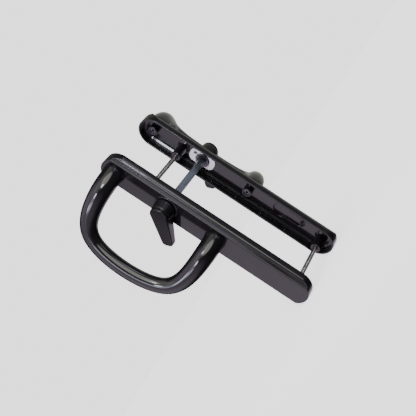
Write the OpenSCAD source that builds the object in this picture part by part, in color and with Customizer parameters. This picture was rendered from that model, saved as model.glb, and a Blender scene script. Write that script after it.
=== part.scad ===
// Pull handle set for a sliding patio door: a cast backplate, a cranked D handle
// and a thumb lever on each face of the door, joined by a square spindle and two bolts.
// The origin is on the spindle's axis, midway through the door. +Z runs up the plates,
// +Y points out of the rear face of the door and -Y out of the front face.

/* [Door] */
// Thickness of door that the two backplates clamp
door_thickness = 63; // [54:0.5:74]

/* [Backplate] */
// Overall height of a backplate
plate_length = 250; // [240:1:270]
// Width of a backplate
plate_width = 37; // [36:0.5:42]
// Depth of a backplate from the door face to its flat front
plate_depth = 12.6; // [12:0.1:15]
// Height of the spindle's axis below the top of the plate
spindle_drop = 79; // [78:0.5:84]
// Straight height of the side wall, below the round shoulder
edge_depth = 5.2; // [4.5:0.1:5.6]
// Radius of the round shoulder along both long edges
shoulder_radius = 3.6; // [3:0.1:3.8]
// Slope of the raised panel's long sides, from its foot to its flat face
panel_slope = 1.1; // [0.6:0.1:1.6]
// Small chamfer round the face of the raised panel
panel_chamfer = 0.5; // [0.3:0.1:0.8]
// Thickness of the side and end walls
side_wall = 2; // [1.8:0.1:2.2]
// Thickness of the front wall behind the flat face
face_wall = 2.4; // [2.2:0.1:2.8]
// Thickness of the ledge behind the shoulder
ledge_wall = 2.6; // [2.2:0.1:2.8]
// Thickness of the small ribs on the side walls
rib_thickness = 1.4; // [1:0.1:2]
// Distance between neighbouring ribs
rib_pitch = 32.3; // [28:0.1:36]

/* [Fixing bolts] */
// Diameter of a fixing bolt
bolt_d = 5; // [4.5:0.1:5.4]
// Height of the upper bolt above the spindle
upper_bolt_rise = 25.4; // [24:0.1:27]
// Height of the lower bolt above the lower end of the plate
lower_bolt_rise = 16.8; // [16:0.1:20]
// Outer diameter of the posts that the bolts run in
post_d = 11; // [10:0.1:12]
// How far the posts stand out of the plate, into the door
post_proud = 9.5; // [6:0.1:12]
// Diameter of the bolt's countersunk head
bolt_head_d = 9.2; // [8.8:0.1:9.8]

/* [Pull handle] */
// Distance between the centres of the two legs
pull_centres = 123; // [119:0.5:126]
// Height of the handle's centre above the spindle
pull_rise = 1.5; // [0:0.1:3]
// Reach of the grip's centreline from the face of the plate
pull_reach = 55.8; // [50:0.1:60]
// Distance over which a leg bends from square to the plate to its full lean
crank_length = 37.4; // [34:0.1:42]
// Full lean of the handle towards the door's edge, in degrees
crank_angle = 55.7; // [40:0.1:58]
// Diameter of a leg, above its foot
leg_d = 22.2; // [20:0.1:23]
// How much the foot of a leg flares out on the plate
foot_flare = 0.9; // [0.2:0.1:1.2]
// Height over which that flare dies out
flare_height = 10; // [6:0.5:14]
// Diameter of the grip
grip_d = 16.4; // [14:0.1:18]
// Diameter of the screws that hold the handle from inside the plate
pull_screw_d = 4; // [3.6:0.1:4.4]
// Outer diameter of the screw bosses inside the plate
pull_boss_d = 11; // [10:0.1:11.6]
// Depth of those bosses' tops below the rim
pull_boss_depth = 3; // [2:0.1:3.6]

/* [Lever] */
// Distance from the spindle's axis to the end of the blade
lever_length = 46.2; // [40:0.1:47]
// Angle at rest from straight down, turned towards the grip, in degrees
lever_rest = 61.5; // [0:0.5:90]
// Diameter of the lever's round hub
hub_d = 24; // [22:0.1:24.4]
// Height of the hub's dome above the face of the plate
hub_height = 14; // [13:0.1:14.4]
// Radius of the blade's round head, over the hub
blade_head_r = 10; // [9:0.1:10.4]
// Width of the blade at its end
blade_tip_width = 13; // [11:0.1:14]
// Radius of the two corners of the blade's end
blade_corner_r = 4.4; // [3:0.1:5]
// Height of the blade's outer face above the plate, over the hub
blade_head_height = 15.5; // [15:0.1:18]
// Height of the blade's outer face above the plate, at the tip
blade_tip_height = 9.8; // [8:0.1:13]
// Clearance between the blade's back and the plate
blade_clearance = 2.2; // [1.6:0.1:4]
// Diameter of the lever's round neck
neck_d = 12; // [11.4:0.1:12.4]
// Side of the square spindle
spindle_side = 7; // [6:0.1:7.4]

/* [Lever bearing] */
// Length of the bearing's flange, along the plate
flange_length = 31; // [29:0.5:33]
// Width of the bearing's flange
flange_width = 18; // [17:0.5:20]
// Thickness of the bearing's flange
flange_thickness = 1.8; // [1.4:0.1:2]
// Wall of the bearing's sleeve
sleeve_wall = 1.5; // [1.2:0.1:2]
// Diameter of the drive collar on the neck
collar_d = 17; // [16.4:0.1:18]
// Thickness of the drive collar
collar_thickness = 1.2; // [1:0.1:1.6]
// Diameter of the screw that holds the bearing
bearing_screw_d = 2.2; // [2:0.1:2.4]

/* [Lock outline] */
// Diameter of the round part of the cylinder outline sunk into the plate's floor
lock_d = 19; // [17:0.5:20]
// Height of that round part's centre above the lower end of the plate
lock_rise = 68.5; // [65:0.5:72]
// Width of the outline's straight tail
lock_tail_width = 11; // [10:0.5:12]
// Length of the outline from the round part's centre to the end of the tail
lock_tail_length = 29.5; // [24:0.5:30]
// Depth of the outline below the floor
lock_recess = 1.4; // [0.8:0.1:1.6]
// Height of the low rim round the outline
lock_rim_height = 0.5; // [0.3:0.1:0.8]
// Width of that rim
lock_rim_width = 0.8; // [0.6:0.1:1.2]

/* [Hidden] */

// Colours as seen on the set
black_paint = [0.10, 0.09, 0.11];
white_nylon = [0.88, 0.90, 0.93];
zinc_steel = [0.55, 0.59, 0.63];
bright_steel = [0.68, 0.66, 0.62];
dark_steel = [0.24, 0.24, 0.26];

// Every cut runs this far past the face it opens
overrun = plate_depth / 10;
// Radial gap of the neck in its bearing, and of the spindle in its square hole
running_gap = 0.05;
// Radial gap round bolts and screws
fixing_gap = 0.1;
// Gap between the lever's hub and the ring it turns over
lever_gap = 0.4;
round_fn = 64;

// Plate: places along its height, measured from the spindle
half_width = plate_width / 2;
plate_top = spindle_drop;
plate_bottom = spindle_drop - plate_length;
half_door = door_thickness / 2;
floor_depth = plate_depth - face_wall;
shoulder_top = edge_depth + shoulder_radius;
panel_foot = half_width - shoulder_radius;
panel_edge = panel_foot - panel_slope;
ledge_depth = shoulder_top - ledge_wall;
inner_half = panel_edge - side_wall;
bolt_places = [upper_bolt_rise, plate_bottom + lower_bolt_rise];
leg_places = [pull_rise + pull_centres / 2, pull_rise - pull_centres / 2];
rib_depth = 1.8;
rib_width = 2.6;
rib_root = 0.4;
pocket_top = plate_top - half_width + inner_half;
pocket_bottom = plate_bottom + half_width - inner_half;
rib_count = 4;
first_rib_rise = 53.7;
post_foot_r = post_d / 2 + side_wall;
post_foot_height = side_wall;
root_depth = (floor_depth + lock_recess + plate_depth) / 2;
ring_height = 0.6;
ring_margin = 1.5;
ring_r = hub_d / 2 + ring_margin;

// Screws of the pull handle
pull_head_d = 7;
pull_head_height = 4;
pull_head_sink = 1.2;
pull_head_depth = pull_boss_depth + pull_head_sink;
pull_seat_depth = pull_head_depth + pull_head_height;
pull_screw_reach = 12;
pull_driver_d = 3.4;
pull_driver_depth = 2;
driver_d = 4;
driver_depth = 1.3;

// Bearing screw
bearing_screw_place = [4.2, 10.8];
flange_shift = 1;
bearing_screw_reach = 1.6;
bearing_hole_depth = floor_depth + bearing_screw_reach + fixing_gap;
bearing_head_d = 3.8;
bearing_head_height = 1.1;

// Stack on the lever's neck, as depths from the door face
sleeve_r = neck_d / 2 + running_gap + sleeve_wall;
flange_depth = floor_depth - flange_thickness;
washer_thickness = 0.3;
washer_rim = 2.4;
washer_r = neck_d / 2 + washer_rim;
washer_depth = flange_depth - washer_thickness;
collar_depth = washer_depth - collar_thickness;
clip_thickness = 0.6;
clip_depth = collar_depth - clip_thickness;
clip_groove = 0.7;
clip_groove_r = neck_d / 2 - clip_groove;
clip_rim = 1.5;
clip_r = neck_d / 2 + clip_rim;
clip_opening = 6;
neck_tail = 0.4;
neck_end = clip_depth - neck_tail;
neck_flat = 10.4;
spindle_grip = 9.4;
spindle_turn = 45;
spindle_end = neck_end + spindle_grip;
square_hole = spindle_side + 2 * running_gap;
collar_notch = 3.2;
collar_notch_depth = 1.4;

// Small ring inside the end of the lock outline
lock_ring_r = 2;
lock_ring_width = 0.8;
lock_ring_gap = 1.5;
lock_ring_place = plate_bottom + lock_rise - lock_tail_length + lock_ring_r + lock_ring_gap;

// Lever: hub and blade
hub_base_r = hub_d / 2;
hub_taper = 1.2;
hub_top_r = hub_base_r - hub_taper;
dome_r = 4;
blade_slope = atan((blade_head_height - blade_tip_height) / lever_length);
blade_corner_x = blade_tip_width / 2 - blade_corner_r;
blade_corner_z = lever_length - blade_corner_r;
arc_steps = 16;

// Turn of the blade's straight sides, which touch its round head and its corners
blade_turn = acos((blade_head_r - blade_corner_r) / norm([blade_corner_x, blade_corner_z]))
    - atan2(blade_corner_z, blade_corner_x);

// Points along an arc from one angle to another
function arc(centre, radius, from, to, steps) =
    [for (i = [0 : steps]) let (a = from + (to - from) * i / steps) centre + radius * [cos(a), sin(a)]];
function blade_points() = concat(
    arc([0, 0], blade_head_r, blade_turn, 180 - blade_turn, 2 * arc_steps),
    arc([-blade_corner_x, -blade_corner_z], blade_corner_r, 180 - blade_turn, 270, arc_steps),
    arc([blade_corner_x, -blade_corner_z], blade_corner_r, 270, 360 + blade_turn, arc_steps));

// Pull handle's centreline: a cubic spline with its ends square to the plate.
// The control points are shares of half the leg spacing and of the grip's reach.
spline_degree = 3;
pull_shares = [[1, 0], [1, 0.367], [0.993, 0.734], [0.705, 0.94], [0, 1]];
taper_share = 0.925;
taper_power = 2.8;
ring_count = 24;
side_count = 24;
section_reference = [0.8, 0.6, 0];

// One of the handle's control points, counted from the upper leg to the lower
function control(i) =
    let (last = len(pull_shares) - 1, k = i <= last ? i : 2 * last - i, side = i <= last ? 1 : -1)
    [side * pull_shares[k][0] * pull_centres / 2, pull_shares[k][1] * pull_reach];

// Knots of a spline that starts and ends on its control points
function knot(i) = min(max(i - spline_degree, 0), 2 * len(pull_shares) - 1 - spline_degree);

// Share of one control point in the curve at parameter t
function weight(i, degree, t) =
    degree == 0 ? ((knot(i) <= t && t < knot(i + 1)) ? 1 : 0) :
    ramp(t - knot(i), knot(i + degree) - knot(i)) * weight(i, degree - 1, t) +
    ramp(knot(i + degree + 1) - t, knot(i + degree + 1) - knot(i + 1)) * weight(i + 1, degree - 1, t);
function ramp(part, whole) = whole == 0 ? 0 : part / whole;

// Flat curve: distance along the plate and distance out of its face
function flat_point(t) =
    total([for (i = [0 : 2 * len(pull_shares) - 2]) weight(i, spline_degree, t) * control(i)]);
function total(list) = [for (v = list) 1] * list;

// Sideways lean at a distance out of the face: a parabola, then a straight line
function lean(y) =
    tan(crank_angle) * (y < crank_length ? y * y / (2 * crank_length) : y - crank_length / 2);
function pull_point(t) = let (p = flat_point(t)) [-lean(p[1]), p[1], p[0]];
function pull_radius(t) =
    let (
        out = flat_point(t)[1],
        s = min(out / (taper_share * pull_reach), 1),
        foot = 1 - min(out / flare_height, 1))
    grip_d / 2 + (leg_d - grip_d) / 2 * (1 - pow(s, taper_power)) + foot_flare * foot * foot;
function unit(v) = v / norm(v);

// Parameter of each ring, and the curve's direction there
middle = (2 * len(pull_shares) - 1 - spline_degree) / 2;
ring_step = middle / ring_count;
function pull_direction(t) =
    t == 0 ? [0, 1, 0] : unit(pull_point(t + ring_step / 8) - pull_point(t - ring_step / 8));
function ring_points(centre, direction, radius) =
    let (n = unit(cross(direction, section_reference)), b = cross(direction, n))
    [for (k = [0 : side_count - 1]) let (a = 360 * k / side_count)
        centre + radius * (n * cos(a) + b * sin(a))];

// Upper half of the handle, from the leg's foot to the middle of the grip
function half_rings() =
    [for (i = [0 : ring_count - 1]) let (t = i * ring_step)
        ring_points(pull_point(t), pull_direction(t), pull_radius(t))];
function middle_ring() = ring_points(pull_point(middle), [0, 0, -1], grip_d / 2);
function flipped(ring) = [for (p = ring) [p[0], p[1], -p[2]]];
function all_rings() =
    let (half = half_rings())
    concat(half, [middle_ring()], [for (i = [ring_count - 1 : -1 : 0]) flipped(half[i])]);

// Walls of a tube through rings of points, with a flat cap at each end
function tube_faces(rings, sides) = concat(
    [[for (k = [0 : sides - 1]) k]],
    [for (i = [0 : rings - 2], k = [0 : sides - 1])
        [i * sides + k, (i + 1) * sides + k, (i + 1) * sides + (k + 1) % sides]],
    [for (i = [0 : rings - 2], k = [0 : sides - 1])
        [i * sides + k, (i + 1) * sides + (k + 1) % sides, i * sides + (k + 1) % sides]],
    [[for (k = [sides - 1 : -1 : 0]) (rings - 1) * sides + k]]);

// Puts a flat outline (across, along the plate) between two depths
module slab(near, far) {
    translate([0, far, 0])
        rotate([90, 0, 0])
            linear_extrude(far - near)
                children();
}

// A round bar or hole along the door's thickness, between two depths
module bar(radius, near, far, top_radius = undef) {
    end_radius = is_undef(top_radius) ? radius : top_radius;
    translate([0, near, 0])
        rotate([-90, 0, 0])
            cylinder(h = far - near, r1 = radius, r2 = end_radius, $fn = round_fn);
}

// Outline with round ends, reaching from one height to another
module stadium(radius, top, bottom) {
    translate([0, top - radius])
        circle(radius, $fn = round_fn);
    translate([0, bottom + radius])
        circle(radius, $fn = round_fn);
    translate([-radius, bottom + radius])
        square([2 * radius, top - bottom - 2 * radius]);
}

// Rectangle with round corners about the origin
module rounded_rectangle(width, height, radius) {
    square([width, height - 2 * radius], center = true);
    square([width - 2 * radius, height], center = true);
    for (x = [-1, 1], y = [-1, 1])
        translate([x * (width / 2 - radius), y * (height / 2 - radius)])
            circle(radius, $fn = round_fn);
}

// Cross-section of the plate: side walls, round shoulders and the raised panel
module outer_profile() {
    translate([-half_width, 0])
        square([2 * half_width, edge_depth]);
    translate([-panel_foot, 0])
        square([2 * panel_foot, shoulder_top]);
    for (side = [-1, 1])
        translate([side * panel_foot, edge_depth])
            circle(shoulder_radius, $fn = round_fn);
    polygon([
        [-panel_foot, shoulder_top],
        [panel_foot, shoulder_top],
        [panel_edge + panel_chamfer, plate_depth - panel_chamfer],
        [panel_edge, plate_depth],
        [-panel_edge, plate_depth],
        [-panel_edge - panel_chamfer, plate_depth - panel_chamfer]
    ]);
}

module plate_outside() {
    intersection() {
        translate([0, 0, plate_bottom])
            linear_extrude(plate_length)
                outer_profile();
        slab(-overrun, plate_depth + overrun)
            stadium(half_width, plate_top, plate_bottom);
    }
}

// Hollow of the plate: a wide part above the ledge and a narrower one down to the floor
module plate_hollow() {
    slab(-overrun, ledge_depth)
        stadium(half_width - side_wall, plate_top - side_wall, plate_bottom + side_wall);
    slab(-overrun, floor_depth)
        stadium(inner_half, pocket_top, pocket_bottom);
}

// Small upright ribs in the corners between the side walls and the ledge
module wall_ribs() {
    for (i = [0 : rib_count - 1], side = [0, 180])
        translate([0, 0, plate_bottom + first_rib_rise + i * rib_pitch])
            rotate([0, side, 0])
                translate([half_width - side_wall - rib_width, rib_depth, -rib_thickness / 2])
                    cube([rib_width + side_wall / 2, ledge_depth + rib_root - rib_depth, rib_thickness]);
}

// Outline of a lock cylinder, a round head over a straight tail
module lock_outline(grow) {
    circle(lock_d / 2 + grow, $fn = round_fn);
    translate([-lock_tail_width / 2 - grow, lock_tail_width / 2 - lock_tail_length])
        square([lock_tail_width + 2 * grow, lock_tail_length - lock_tail_width / 2]);
    translate([0, lock_tail_width / 2 - lock_tail_length])
        circle(lock_tail_width / 2 + grow, $fn = round_fn);
}

// Low rim round the sunk outline
module lock_rim() {
    translate([0, 0, plate_bottom + lock_rise])
        slab(floor_depth - lock_rim_height, floor_depth + overrun)
            difference() {
                lock_outline(lock_rim_width);
                lock_outline(0);
            }
}

// What is cut away for the outline, with a small ring left standing near its end
module lock_hollow() {
    difference() {
        translate([0, 0, plate_bottom + lock_rise])
            slab(floor_depth - overrun, floor_depth + lock_recess)
                lock_outline(0);
        translate([0, 0, lock_ring_place])
            difference() {
                bar(lock_ring_r, floor_depth, floor_depth + lock_recess + overrun);
                bar(lock_ring_r - lock_ring_width, floor_depth - overrun, floor_depth + lock_recess + 2 * overrun);
            }
    }
}

// Posts for the bolts and bosses for the handle's screws
module plate_posts() {
    for (z = bolt_places)
        translate([0, 0, z]) {
            bar(post_d / 2, -post_proud, root_depth);
            bar(post_d / 2, floor_depth - post_foot_height, floor_depth, post_foot_r);
        }
    for (z = leg_places)
        translate([0, 0, z])
            bar(pull_boss_d / 2, pull_boss_depth, root_depth);
}

// A whole cast plate with its outer side along +Y and its rim at zero
module backplate(bolt_floor) {
    difference() {
        union() {
            difference() {
                plate_outside();
                plate_hollow();
                lock_hollow();
            }
            wall_ribs();
            lock_rim();
            plate_posts();
            bar(ring_r, plate_depth - overrun, plate_depth + ring_height);
        }
        bar(sleeve_r + fixing_gap, -overrun, plate_depth + ring_height + overrun);
        for (z = leg_places)
            translate([0, 0, z]) {
                bar(pull_screw_d / 2 + fixing_gap, pull_seat_depth - overrun, plate_depth + overrun);
                bar(pull_head_d / 2 + fixing_gap, pull_boss_depth - overrun, pull_seat_depth);
            }
        for (z = bolt_places)
            translate([0, 0, z])
                bar(bolt_d / 2 + fixing_gap, -post_proud - overrun, bolt_floor);
        translate([bearing_screw_place[0], 0, bearing_screw_place[1]])
            bar(bearing_screw_d / 2 + fixing_gap, floor_depth - overrun, bearing_hole_depth);
    }
}

// Depth of the blind bolt holes in the front plate, and of the bolts' ends
blind_depth = floor_depth;
bolt_end_depth = floor_depth - face_wall;
countersink_depth = (bolt_head_d - bolt_d) / 2;
bolt_seat_depth = plate_depth - countersink_depth;

module front_backplate() {
    color(black_paint)
        mirror([0, 1, 0])
            translate([0, half_door, 0])
                backplate(blind_depth);
}

module rear_backplate() {
    color(black_paint)
        translate([0, half_door, 0])
            difference() {
                backplate(plate_depth + overrun);
                for (z = bolt_places)
                    translate([0, 0, z]) {
                        bar(bolt_d / 2 + fixing_gap, bolt_seat_depth, plate_depth, bolt_head_d / 2 + fixing_gap);
                        bar(bolt_head_d / 2 + fixing_gap, plate_depth, plate_depth + overrun);
                    }
            }
}

// Cranked D handle on the outer side of a plate, with its two screw holes
module pull_handle() {
    translate([0, plate_depth, 0])
        difference() {
            translate([0, 0, pull_rise])
                polyhedron(
                    points = [for (ring = all_rings()) each ring],
                    faces = tube_faces(2 * ring_count + 1, side_count),
                    convexity = 6);
            for (z = leg_places)
                translate([0, 0, z])
                    bar(pull_screw_d / 2 + fixing_gap, -overrun, pull_screw_reach + overrun);
        }
}

module front_pull_handle() {
    color(black_paint)
        mirror([0, 1, 0])
            translate([0, half_door, 0])
                pull_handle();
}

module rear_pull_handle() {
    color(black_paint)
        translate([0, half_door, 0])
            pull_handle();
}

// Screws that pull the handle's legs onto the plate from inside
module pull_screws() {
    for (z = leg_places)
        translate([0, 0, z])
            difference() {
                union() {
                    bar(pull_screw_d / 2, pull_seat_depth, plate_depth + pull_screw_reach);
                    bar(pull_head_d / 2, pull_head_depth, pull_seat_depth);
                }
                translate([0, pull_head_depth + pull_driver_depth, 0])
                    rotate([90, 0, 0])
                        cylinder(h = pull_driver_depth + overrun, d = pull_driver_d, $fn = 6);
            }
}

module front_pull_screws() {
    color(dark_steel)
        mirror([0, 1, 0])
            translate([0, half_door, 0])
                pull_screws();
}

module rear_pull_screws() {
    color(dark_steel)
        translate([0, half_door, 0])
            pull_screws();
}

// Thumb lever pointing straight down: hub, dome, sloping blade and neck
module lever() {
    hub_foot = plate_depth + ring_height + lever_gap;
    difference() {
        union() {
            translate([0, plate_depth, 0])
                rotate([-90, 0, 0])
                    rotate_extrude($fn = round_fn)
                        hub_profile(hub_foot - plate_depth);
            difference() {
                slab(plate_depth + blade_clearance, plate_depth + blade_head_height + overrun)
                    polygon(blade_points());
                translate([0, plate_depth + blade_head_height, 0])
                    rotate([-blade_slope, 0, 0])
                        translate([-lever_length, 0, -2 * lever_length])
                            cube([2 * lever_length, lever_length, 3 * lever_length]);
            }
            bar(neck_d / 2, washer_depth, hub_foot + overrun);
            intersection() {
                bar(neck_d / 2, neck_end, washer_depth + overrun);
                rotate([0, spindle_turn, 0])
                    translate([-neck_flat / 2, neck_end, -neck_d])
                        cube([neck_flat, spindle_grip, 2 * neck_d]);
            }
        }
        difference() {
            bar(neck_d, clip_depth, clip_depth + clip_thickness);
            bar(clip_groove_r, clip_depth - overrun, clip_depth + clip_thickness + overrun);
        }
        rotate([0, spindle_turn, 0])
            translate([-square_hole / 2, neck_end - overrun, -square_hole / 2])
                cube([square_hole, spindle_grip + overrun + lever_gap, square_hole]);
    }
}

// Half section of the hub: slightly tapering side and a rounded top edge
module hub_profile(foot) {
    polygon([
        [0, foot],
        [hub_base_r, foot],
        [hub_top_r, hub_height - dome_r],
        [0, hub_height - dome_r]
    ]);
    translate([hub_top_r - dome_r, hub_height - dome_r])
        intersection() {
            circle(dome_r, $fn = round_fn);
            square(dome_r);
        }
    translate([0, hub_height - dome_r])
        square([hub_top_r - dome_r, dome_r]);
}

// Turns a lever from straight down to where it stands at rest
module at_rest() {
    rotate([0, lever_rest, 0])
        children();
}

module front_lever() {
    color(black_paint)
        at_rest()
            mirror([0, 1, 0])
                translate([0, half_door, 0])
                    lever();
}

module rear_lever() {
    color(black_paint)
        at_rest()
            translate([0, half_door, 0])
                lever();
}

// Nylon bearing: an oblong flange on the plate's floor and a sleeve through it
module lever_bearing() {
    difference() {
        union() {
            slab(flange_depth, floor_depth)
                translate([0, flange_shift])
                    rounded_rectangle(flange_width, flange_length, flange_width / 2 - side_wall);
            bar(sleeve_r, flange_depth, plate_depth + ring_height);
        }
        bar(neck_d / 2 + running_gap, flange_depth - overrun, plate_depth + ring_height + overrun);
        translate([bearing_screw_place[0], 0, bearing_screw_place[1]])
            bar(bearing_screw_d / 2 + fixing_gap, flange_depth - overrun, floor_depth + overrun);
    }
}

module front_lever_bearing() {
    color(white_nylon)
        mirror([0, 1, 0])
            translate([0, half_door, 0])
                lever_bearing();
}

module rear_lever_bearing() {
    color(white_nylon)
        translate([0, half_door, 0])
            lever_bearing();
}

// Small screw that holds the bearing's flange
module bearing_screw() {
    translate([bearing_screw_place[0], 0, bearing_screw_place[1]])
        difference() {
            union() {
                bar(bearing_screw_d / 2, flange_depth, floor_depth + bearing_screw_reach);
                bar(bearing_head_d / 2, flange_depth - bearing_head_height, flange_depth);
            }
            translate([-bearing_head_d, flange_depth - bearing_head_height - overrun, -bearing_head_d / 10])
                cube([2 * bearing_head_d, bearing_head_height / 2 + overrun, bearing_head_d / 5]);
        }
}

module front_bearing_screw() {
    color(dark_steel)
        mirror([0, 1, 0])
            translate([0, half_door, 0])
                bearing_screw();
}

module rear_bearing_screw() {
    color(dark_steel)
        translate([0, half_door, 0])
            bearing_screw();
}

// Thin washer between the bearing and the drive collar
module spring_washer() {
    difference() {
        bar(washer_r, washer_depth, flange_depth);
        bar(neck_d / 2 + fixing_gap, washer_depth - overrun, flange_depth + overrun);
    }
}

module front_spring_washer() {
    color(dark_steel)
        at_rest()
            mirror([0, 1, 0])
                translate([0, half_door, 0])
                    spring_washer();
}

module rear_spring_washer() {
    color(dark_steel)
        at_rest()
            translate([0, half_door, 0])
                spring_washer();
}

// Collar keyed on the neck's two flats, with a notch on each side
module drive_collar() {
    difference() {
        bar(collar_d / 2, collar_depth, washer_depth);
        intersection() {
            bar(neck_d / 2 + fixing_gap, collar_depth - overrun, washer_depth + overrun);
            rotate([0, spindle_turn, 0])
                translate([-neck_flat / 2 - fixing_gap, collar_depth - overrun, -neck_d])
                    cube([neck_flat + 2 * fixing_gap, collar_thickness + 2 * overrun, 2 * neck_d]);
        }
        for (side = [0, 180])
            rotate([0, side, 0])
                translate([collar_d / 2 - collar_notch_depth, collar_depth - overrun, -collar_notch / 2])
                    cube([2 * collar_notch_depth, collar_thickness + 2 * overrun, collar_notch]);
    }
}

module front_drive_collar() {
    color(dark_steel)
        at_rest()
            mirror([0, 1, 0])
                translate([0, half_door, 0])
                    drive_collar();
}

module rear_drive_collar() {
    color(dark_steel)
        at_rest()
            translate([0, half_door, 0])
                drive_collar();
}

// Open ring in the neck's groove, which keeps the lever in its bearing
module circlip() {
    difference() {
        bar(clip_r, clip_depth, clip_depth + clip_thickness);
        bar(clip_groove_r + fixing_gap / 2, clip_depth - overrun, clip_depth + clip_thickness + overrun);
        translate([-clip_opening / 2, clip_depth - overrun, 0])
            cube([clip_opening, clip_thickness + 2 * overrun, neck_d]);
    }
}

module front_circlip() {
    color(dark_steel)
        at_rest()
            mirror([0, 1, 0])
                translate([0, half_door, 0])
                    circlip();
}

module rear_circlip() {
    color(dark_steel)
        at_rest()
            translate([0, half_door, 0])
                circlip();
}

// Square bar that joins the two levers
module spindle() {
    color(zinc_steel)
        at_rest()
            rotate([0, spindle_turn, 0])
                translate([-spindle_side / 2, -half_door - spindle_end, -spindle_side / 2])
                    cube([spindle_side, 2 * (half_door + spindle_end), spindle_side]);
}

// Two countersunk bolts from the rear face into the front plate's posts
module fixing_bolts() {
    color(bright_steel)
        for (z = bolt_places)
            translate([0, 0, z])
                difference() {
                    union() {
                        bar(bolt_d / 2, -half_door - bolt_end_depth, half_door + bolt_seat_depth);
                        translate([0, half_door + bolt_seat_depth, 0])
                            bar(bolt_d / 2, 0, countersink_depth, bolt_head_d / 2);
                    }
                    translate([0, half_door + plate_depth - driver_depth, 0])
                        rotate([-90, 0, 0])
                            cylinder(h = driver_depth + overrun, d = driver_d, $fn = 6);
                }
}

front_backplate();
rear_backplate();
front_pull_handle();
rear_pull_handle();
front_pull_screws();
rear_pull_screws();
front_lever();
rear_lever();
front_lever_bearing();
rear_lever_bearing();
front_bearing_screw();
rear_bearing_screw();
front_spring_washer();
rear_spring_washer();
front_drive_collar();
rear_drive_collar();
front_circlip();
rear_circlip();
spindle();
fixing_bolts();
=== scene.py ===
import math

import bmesh
import bpy
from mathutils import Matrix, Vector


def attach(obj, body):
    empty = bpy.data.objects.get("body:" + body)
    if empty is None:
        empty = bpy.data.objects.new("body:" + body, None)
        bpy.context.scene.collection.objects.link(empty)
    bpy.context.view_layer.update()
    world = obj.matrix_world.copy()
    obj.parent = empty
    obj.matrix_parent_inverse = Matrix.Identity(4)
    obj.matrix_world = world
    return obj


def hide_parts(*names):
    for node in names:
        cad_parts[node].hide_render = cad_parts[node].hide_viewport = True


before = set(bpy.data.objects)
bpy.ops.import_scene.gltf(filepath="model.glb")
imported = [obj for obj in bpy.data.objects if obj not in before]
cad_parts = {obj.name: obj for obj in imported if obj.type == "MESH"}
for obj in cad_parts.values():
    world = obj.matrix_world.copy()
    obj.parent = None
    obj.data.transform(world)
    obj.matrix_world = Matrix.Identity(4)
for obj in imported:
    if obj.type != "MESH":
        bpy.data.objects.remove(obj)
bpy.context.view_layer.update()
MM = 0.001

# Sizes shared with the CAD model, in millimetres. The levers' wide rounding starts at the hub's foot.
HALF_DOOR = 31.5
PLATE_DEPTH = 12.6
HUB_FOOT = 44.6

# The pull handle's centreline and taper, as in the CAD model
PULL_SHARES = [(1, 0), (1, 0.367), (0.993, 0.734), (0.705, 0.94), (0, 1)]
PULL_CENTRES = 123.0
PULL_RISE = 1.5
PULL_REACH = 55.8
CRANK_LENGTH = 37.4
CRANK_TAN = math.tan(math.radians(55.7))
LEG_R = 11.1
GRIP_R = 8.2
TAPER_SHARE = 0.925
TAPER_POWER = 2.8
FOOT_FLARE = 0.9
FLARE_HEIGHT = 10.0
DEGREE = 3

# The handle's mesh. The spline leaves out its very end, so the last ring stops this much short of it.
RINGS = 150
SIDES = 72
END_GAP = 1e-9

# Widths of rounded edges, outer and inner, in millimetres
PLATE_EDGES = (0.5, 0.15)
LEVER_EDGES = (1.6, 0.1)
EDGE_STEPS = 3

# The trays' ledge: its nearest and farthest distance from the door's middle, and its chamfer's width
LEDGE = (37.2, 38.2, 1.7)

# Edges that turn by less than the first angle stay smooth, and by less than the second are taken out
SHARP_TURN = 15
FLAT_TURN = 0.5

# Corners closer than this are joined, in metres
WELD = 1e-6

# The camera's picture width, focal length and shift in pixels, and its sensor's width in millimetres
PICTURE = 416
FOCAL = 681.966
SHIFT = (-13.984, -2.518)
SENSOR = 36

# The camera's place and turn, in metres and degrees. The first vector points from the set to the camera.
CAMERA_BACK = Vector((0.75424, -0.65579, -0.03262))
CAMERA_DISTANCE = 0.720253
CAMERA_TARGET = Vector((0, 0, -0.04603))
CAMERA_AZIMUTH = 48.994
CAMERA_ROLL = -56.661
CLIP_START = 0.01
CLIP_END = 50

# Noise values at which a material reaches its first and its second end
NOISE_ENDS = (0.35, 0.65)

# Light patches of the surround: azimuth, elevation, angles where the patch is full and gone, and its colour
VIOLET = Vector((0.96, 0.83, 1.0))
BLUE = Vector((0.84, 0.84, 1.0))
WARM = Vector((1.0, 1.0, 0.91))
PATCHES = [
    (230, -22, 8, 50, 0.78 * VIOLET),
    (258, -15, 20, 60, 0.8 * VIOLET),
    (250, 38, 12, 55, 0.6 * VIOLET),
    (275, 62, 15, 40, 0.9 * VIOLET),
    (303, 17, 3, 5.5, 36 * BLUE),
    (281, 23, 3, 7, 14 * BLUE),
    (288, 8, 2, 8, 7 * BLUE),
    (18, 5, 3, 10, 2.2 * BLUE),
    (290, 18, 6, 18, 2.8 * BLUE),
    (325, 38, 12, 30, 1.4 * WARM),
    (344, 11, 18, 26, 4.2 * WARM),
    (31, 12, 3, 9, 3.5 * BLUE),
    (23, -12, 3, 9, 1.5 * BLUE),
    (10, 42, 10, 30, 1.0 * WARM),
    (44, -8, 10, 34, 0.2 * BLUE),
    (95, 8, 22, 48, 0.6 * WARM),
    (132, -38, 8, 22, 1.0 * VIOLET),
]
SURROUND = 0.05
BACKGROUND = 2.1

# The small light beside the set, in metres and watts
GLINT_PLACE = (0.228, -0.212, 0.093)
GLINT_TARGET = (-0.0135, 0.038, 0.056)
GLINT_SIZE = 0.04
GLINT_POWER = 0.2

# The floor
FLOOR_REACH = 6
FLOOR_LEVEL = -0.1712
FLOOR_GLOW = 1.5


def link(obj):
    bpy.context.scene.collection.objects.link(obj)


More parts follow.
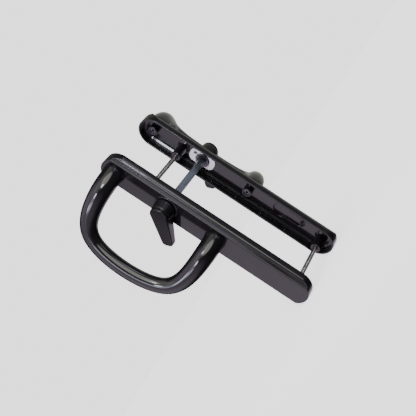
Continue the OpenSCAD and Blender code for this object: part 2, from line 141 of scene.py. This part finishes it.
def camera():
    """Nearly level, turned about its view so that the plates' length runs down to the right."""
    azimuth = math.radians(CAMERA_AZIMUTH)
    level_right = Vector((math.cos(azimuth), math.sin(azimuth), 0))
    level_up = CAMERA_BACK.cross(level_right)
    roll = math.radians(CAMERA_ROLL)
    right = level_right * math.cos(roll) + level_up * math.sin(roll)
    up = level_up * math.cos(roll) - level_right * math.sin(roll)
    place = CAMERA_BACK * CAMERA_DISTANCE + CAMERA_TARGET
    cam = bpy.data.cameras.new("camera")
    cam.sensor_fit = "HORIZONTAL"
    cam.sensor_width = SENSOR
    cam.lens = SENSOR * FOCAL / PICTURE
    cam.shift_x = SHIFT[0] / PICTURE
    cam.shift_y = SHIFT[1] / PICTURE
    cam.clip_start = CLIP_START
    cam.clip_end = CLIP_END
    obj = bpy.data.objects.new("camera", cam)
    link(obj)
    obj.matrix_world = Matrix((
        (right.x, up.x, CAMERA_BACK.x, place.x),
        (right.y, up.y, CAMERA_BACK.y, place.y),
        (right.z, up.z, CAMERA_BACK.z, place.z),
        (0, 0, 0, 1)))
    bpy.context.scene.camera = obj


# Materials
def material(name):
    mat = bpy.data.materials.new(name)
    mat.use_nodes = True
    nodes = mat.node_tree.nodes
    return mat, nodes, mat.node_tree.links, nodes["Principled BSDF"]


def noise(nodes, links, coords, scale, detail, stretch=None):
    source = coords.outputs["Object"]
    if stretch:
        mapping = nodes.new("ShaderNodeMapping")
        mapping.inputs["Scale"].default_value = stretch
        links.new(source, mapping.inputs["Vector"])
        source = mapping.outputs["Vector"]
    tex = nodes.new("ShaderNodeTexNoise")
    tex.inputs["Scale"].default_value = scale
    tex.inputs["Detail"].default_value = detail
    links.new(source, tex.inputs["Vector"])
    return tex


def spread(nodes, links, tex, ends, target):
    """Drives a socket with a noise that runs between two colours or two greys."""
    node = nodes.new("ShaderNodeValToRGB")
    for element, place, value in zip(node.color_ramp.elements, NOISE_ENDS, ends):
        element.position = place
        element.color = (*value, 1) if isinstance(value, tuple) else (value, value, value, 1)
    links.new(tex.outputs["Fac"], node.inputs["Fac"])
    links.new(node.outputs["Color"], target)


def bump(nodes, links, bsdf, tex, strength, distance):
    node = nodes.new("ShaderNodeBump")
    node.inputs["Strength"].default_value = strength
    node.inputs["Distance"].default_value = distance
    links.new(tex.outputs["Fac"], node.inputs["Height"])
    links.new(node.outputs["Normal"], bsdf.inputs["Normal"])


def paint(name, dark, light, roughness, peel, peel_scale, shine, coat):
    """Black paint with a faint orange peel and uneven gloss."""
    mat, nodes, links, bsdf = material(name)
    coords = nodes.new("ShaderNodeTexCoord")
    cloud = noise(nodes, links, coords, scale=60, detail=3)
    spread(nodes, links, cloud, (dark, light), bsdf.inputs["Base Color"])
    smear = noise(nodes, links, coords, scale=140, detail=4)
    spread(nodes, links, smear, roughness, bsdf.inputs["Roughness"])
    grain = noise(nodes, links, coords, scale=peel_scale, detail=2)
    bump(nodes, links, bsdf, grain, strength=0.6, distance=peel)
    bsdf.inputs["Specular IOR Level"].default_value = shine
    bsdf.inputs["Coat Weight"].default_value = coat
    bsdf.inputs["Coat Roughness"].default_value = 0.06
    return mat


def metal(name, dark, light, roughness, stretch):
    """Plated steel with fine drawing lines and a mottled gloss."""
    mat, nodes, links, bsdf = material(name)
    coords = nodes.new("ShaderNodeTexCoord")
    lines = noise(nodes, links, coords, scale=900, detail=3, stretch=stretch)
    spread(nodes, links, lines, (dark, light), bsdf.inputs["Base Color"])
    mottle = noise(nodes, links, coords, scale=220, detail=4)
    spread(nodes, links, mottle, roughness, bsdf.inputs["Roughness"])
    bump(nodes, links, bsdf, lines, strength=0.25, distance=0.00002)
    bsdf.inputs["Metallic"].default_value = 1.0
    return mat


def nylon():
    """Natural nylon, cloudy and slightly translucent."""
    mat, nodes, links, bsdf = material("natural_nylon")
    coords = nodes.new("ShaderNodeTexCoord")
    cloud = noise(nodes, links, coords, scale=180, detail=3)
    spread(nodes, links, cloud, ((0.90, 0.92, 0.96), (0.94, 0.96, 0.99)), bsdf.inputs["Base Color"])
    spread(nodes, links, cloud, (0.38, 0.5), bsdf.inputs["Roughness"])
    grain = noise(nodes, links, coords, scale=2500, detail=1)
    bump(nodes, links, bsdf, grain, strength=0.3, distance=0.00002)
    bsdf.inputs["Subsurface Weight"].default_value = 0.15
    bsdf.inputs["Subsurface Radius"].default_value = (0.002, 0.002, 0.002)
    return mat


PLATE_PAINT = paint(
    "satin_black_paint", dark=(0.004, 0.0032, 0.0045), light=(0.007, 0.006, 0.0078), roughness=(0.30, 0.38),
    peel=0.0000015, peel_scale=700, shine=0.11, coat=0.8)
GRIP_PAINT = paint(
    "gloss_black_paint", dark=(0.005, 0.0045, 0.0055), light=(0.008, 0.007, 0.009), roughness=(0.1, 0.15),
    peel=0.000012, peel_scale=500, shine=0.4, coat=0.25)
LEVER_PAINT = paint(
    "lever_black_paint", dark=(0.006, 0.0055, 0.0065), light=(0.009, 0.008, 0.010), roughness=(0.18, 0.25),
    peel=0.000012, peel_scale=700, shine=0.22, coat=0.1)
NYLON = nylon()
SPINDLE_STEEL = metal(
    "zinc_plated_steel", dark=(0.34, 0.38, 0.43), light=(0.48, 0.53, 0.59), roughness=(0.28, 0.42),
    stretch=(1, 0.05, 1))
BOLT_STEEL = metal(
    "bright_plated_steel", dark=(0.62, 0.59, 0.53), light=(0.86, 0.83, 0.78), roughness=(0.16, 0.28),
    stretch=(0.2, 1, 0.2))
DARK_STEEL = metal(
    "oiled_spring_steel", dark=(0.07, 0.07, 0.08), light=(0.13, 0.13, 0.15), roughness=(0.3, 0.42),
    stretch=(1, 1, 1))


def give(node, mat):
    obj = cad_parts[node]
    for slot in obj.material_slots:
        slot.material = mat
    if not obj.material_slots:
        obj.data.materials.append(mat)


# Pull handles
def spline_point(t):
    """The handle's flat centreline: (distance along the plate, distance out of its face), in millimetres."""
    last = len(PULL_SHARES) - 1
    count = 2 * last + 1

    def knot(i):
        return min(max(i - DEGREE, 0), count - DEGREE)

    def part(a, b):
        return 0.0 if b == 0 else a / b

    def weight(i, degree):
        if degree == 0:
            return 1.0 if knot(i) <= t < knot(i + 1) else 0.0
        rising = part(t - knot(i), knot(i + degree) - knot(i))
        falling = part(knot(i + degree + 1) - t, knot(i + degree + 1) - knot(i + 1))
        return rising * weight(i, degree - 1) + falling * weight(i + 1, degree - 1)

    along = out = 0.0
    for i in range(count):
        share = PULL_SHARES[i if i <= last else 2 * last - i]
        sign = 1 if i <= last else -1
        w = weight(i, DEGREE)
        along += w * sign * share[0] * PULL_CENTRES / 2
        out += w * share[1] * PULL_REACH
    return along, out


def lean(out):
    """Sideways lean at a distance out of the plate: a parabola that runs on as a straight line."""
    return CRANK_TAN * (out * out / (2 * CRANK_LENGTH) if out < CRANK_LENGTH else out - CRANK_LENGTH / 2)


def tube_radius(out):
    taper = min(out / (TAPER_SHARE * PULL_REACH), 1)
    foot = 1 - min(out / FLARE_HEIGHT, 1)
    return GRIP_R + (LEG_R - GRIP_R) * (1 - taper ** TAPER_POWER) + FOOT_FLARE * foot * foot


def pull_handle(side, name, node):
    """Smooth cranked D handle. side is -1 at the front of the door and 1 at the rear."""
    end = 2 * len(PULL_SHARES) - 1 - DEGREE
    centres, radii = [], []
    for i in range(RINGS + 1):
        along, out = spline_point(min(end * i / RINGS, end - END_GAP))
        centres.append(Vector((-lean(out), side * (HALF_DOOR + PLATE_DEPTH + out), PULL_RISE + along)))
        radii.append(tube_radius(out))

    # Each ring starts from the same direction, one that the tube never takes
    start = Vector((0.8, side * 0.6, 0))
    verts = []
    for i, (c, r) in enumerate(zip(centres, radii)):
        if i == 0:
            direction = Vector((0, side, 0))
        elif i == RINGS:
            direction = Vector((0, -side, 0))
        else:
            direction = (centres[i + 1] - centres[i - 1]).normalized()
        n = direction.cross(start).normalized()
        b = direction.cross(n)
        for k in range(SIDES):
            a = 2 * math.pi * k / SIDES
            verts.append((c + r * (n * math.cos(a) + b * math.sin(a))) * MM)
    faces = []
    for low in range(0, RINGS * SIDES, SIDES):
        high = low + SIDES
        for k in range(SIDES):
            k2 = (k + 1) % SIDES
            faces.append((low + k, low + k2, high + k2, high + k))
    faces.append(tuple(range(SIDES)))
    faces.append(tuple(RINGS * SIDES + k for k in range(SIDES)))

    mesh = bpy.data.meshes.new(name)
    mesh.from_pydata([tuple(v) for v in verts], [], faces)
    mesh.validate()
    bm = bmesh.new()
    bm.from_mesh(mesh)
    bmesh.ops.recalc_face_normals(bm, faces=bm.faces)
    bm.to_mesh(mesh)
    bm.free()
    for poly in mesh.polygons:
        poly.use_smooth = len(poly.vertices) == 4
    mesh.materials.append(GRIP_PAINT)
    obj = bpy.data.objects.new(name, mesh)
    link(obj)
    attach(obj, "handle_set")
    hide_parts(node)


# Plates and levers
def softened(node, mat, body, widths, beyond=0.0, ledge=None):
    """A copy of a CAD node with rounded edges, which takes the node's place.

    Convex edges farther than `beyond` from the door's middle get the outer width, all others the inner one.
    On the -X side, the ledge's convex edges get a flat chamfer first.
    """
    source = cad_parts[node]
    mesh = source.data.copy()
    obj = bpy.data.objects.new(node + "_dressed", mesh)
    link(obj)
    place = source.matrix_world.copy()
    outer, inner = widths

    def distances(edge):
        return [abs((place @ v.co).y) / MM for v in edge.verts]

    def turns(edge):
        return len(edge.link_faces) == 2 and edge.calc_face_angle() > math.radians(SHARP_TURN)

    def on_ledge(edge):
        near, far, _ = ledge
        if max((place @ v.co).x for v in edge.verts) >= 0:
            return False
        return turns(edge) and edge.is_convex and all(near < d < far for d in distances(edge))

    bm = bmesh.new()
    bm.from_mesh(mesh)
    bmesh.ops.remove_doubles(bm, verts=bm.verts, dist=WELD)
    bmesh.ops.dissolve_limit(bm, angle_limit=math.radians(FLAT_TURN), verts=bm.verts, edges=bm.edges)
    chamfer = set()
    if ledge:
        made = bmesh.ops.bevel(
            bm, geom=[e for e in bm.edges if on_ledge(e)], offset=ledge[2] * MM, offset_type="OFFSET",
            segments=1, profile=0.5, affect="EDGES", clamp_overlap=False)
        chamfer = set(made["faces"])
    weights = bm.edges.layers.float.new("bevel_weight_edge")
    for edge in bm.edges:
        if turns(edge):
            wide = (edge.is_convex and min(distances(edge)) > beyond
                    and not chamfer.intersection(edge.link_faces))
            edge[weights] = 1.0 if wide else inner / outer
    for face in bm.faces:
        face.smooth = True
    bm.to_mesh(mesh)
    bm.free()
    mesh.materials.clear()
    mesh.materials.append(mat)
    bevel = obj.modifiers.new("edges", "BEVEL")
    bevel.width = outer * MM
    bevel.segments = EDGE_STEPS
    bevel.limit_method = "WEIGHT"
    bevel.use_clamp_overlap = False

    # The larger face decides how an edge is shaded, so flat faces stay flat
    even = obj.modifiers.new("flat faces", "WEIGHTED_NORMAL")
    even.mode = "FACE_AREA"
    even.weight = 100
    even.keep_sharp = True
    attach(obj, body)
    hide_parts(node)


# Studio
def studio():
    """A pale background for the camera, and around the set a dim surround with soft patches of light."""
    world = bpy.data.worlds.new("studio")
    bpy.context.scene.world = world
    world.use_nodes = True
    nodes, links = world.node_tree.nodes, world.node_tree.links
    surround = nodes["Background"]
    coords = nodes.new("ShaderNodeTexCoord")
    total = None
    for azimuth, elevation, full, gone, colour in PATCHES:
        turn, lift = math.radians(azimuth), math.radians(elevation)
        flat = math.cos(lift)
        dot = nodes.new("ShaderNodeVectorMath")
        dot.operation = "DOT_PRODUCT"
        dot.inputs[1].default_value = (flat * math.cos(turn), flat * math.sin(turn), math.sin(lift))
        links.new(coords.outputs["Generated"], dot.inputs[0])
        share = nodes.new("ShaderNodeMapRange")
        share.interpolation_type = "SMOOTHSTEP"
        share.inputs["From Min"].default_value = math.cos(math.radians(gone))
        share.inputs["From Max"].default_value = math.cos(math.radians(full))
        links.new(dot.outputs["Value"], share.inputs["Value"])
        glow = nodes.new("ShaderNodeVectorMath")
        glow.operation = "MULTIPLY_ADD"
        glow.inputs[0].default_value = colour
        links.new(share.outputs["Result"], glow.inputs[1])
        if total:
            links.new(total.outputs["Vector"], glow.inputs[2])
        else:
            glow.inputs[2].default_value = (SURROUND, SURROUND, SURROUND)
        total = glow
    links.new(total.outputs["Vector"], surround.inputs["Color"])
    surround.inputs["Strength"].default_value = 1
    pale = nodes.new("ShaderNodeBackground")
    pale.inputs["Color"].default_value = (1, 1, 1, 1)
    pale.inputs["Strength"].default_value = BACKGROUND
    mix = nodes.new("ShaderNodeMixShader")
    path = nodes.new("ShaderNodeLightPath")
    links.new(path.outputs["Is Camera Ray"], mix.inputs["Fac"])
    links.new(surround.outputs["Background"], mix.inputs[1])
    links.new(pale.outputs["Background"], mix.inputs[2])
    links.new(mix.outputs["Shader"], nodes["World Output"].inputs["Surface"])


def glint_light():
    """A small light close to the set, which the camera doesn't see. It shines on the rear tray's ledge."""
    light = bpy.data.lights.new("tray glint", "AREA")
    light.energy = GLINT_POWER
    light.shape = "RECTANGLE"
    light.size = GLINT_SIZE
    light.size_y = GLINT_SIZE
    light.color = BLUE
    obj = bpy.data.objects.new("tray glint", light)
    link(obj)
    obj.location = GLINT_PLACE
    aim = Vector(GLINT_TARGET) - Vector(GLINT_PLACE)
    obj.rotation_euler = aim.to_track_quat("-Z", "Y").to_euler()
    obj.visible_camera = False


def floor():
    """A pale floor just below the plates, which shows in no reflection and lights nothing."""
    signs = [(-1, -1), (1, -1), (1, 1), (-1, 1)]
    corners = [(x * FLOOR_REACH, y * FLOOR_REACH, FLOOR_LEVEL) for x, y in signs]
    mesh = bpy.data.meshes.new("floor")
    mesh.from_pydata(corners, [], [(0, 1, 2, 3)])
    obj = bpy.data.objects.new("floor", mesh)
    link(obj)
    mat, nodes, links, bsdf = material("pale_floor")
    coords = nodes.new("ShaderNodeTexCoord")
    cloud = noise(nodes, links, coords, scale=3, detail=2)
    spread(nodes, links, cloud, (0.80, 0.83), bsdf.inputs["Base Color"])
    bsdf.inputs["Roughness"].default_value = 0.9
    bsdf.inputs["Specular IOR Level"].default_value = 0.1
    bsdf.inputs["Emission Color"].default_value = (1, 1, 1, 1)
    bsdf.inputs["Emission Strength"].default_value = FLOOR_GLOW
    mesh.materials.append(mat)
    obj.visible_glossy = False
    obj.visible_diffuse = False


camera()
for side in ("front", "rear"):
    give(side + "_lever_bearing", NYLON)
    for piece in ("bearing_screw", "spring_washer", "drive_collar", "circlip", "pull_screws"):
        give(side + "_" + piece, DARK_STEEL)
give("spindle", SPINDLE_STEEL)
give("fixing_bolts", BOLT_STEEL)
pull_handle(-1, "front_grip", "front_pull_handle")
pull_handle(1, "rear_grip", "rear_pull_handle")
for node in ("front_backplate", "rear_backplate"):
    softened(node, PLATE_PAINT, "handle_set", PLATE_EDGES, ledge=LEDGE)
for node in ("front_lever", "rear_lever"):
    softened(node, LEVER_PAINT, "lever_set", LEVER_EDGES, beyond=HUB_FOOT)
studio()
floor()
glint_light()

bpy.context.view_layer.update()
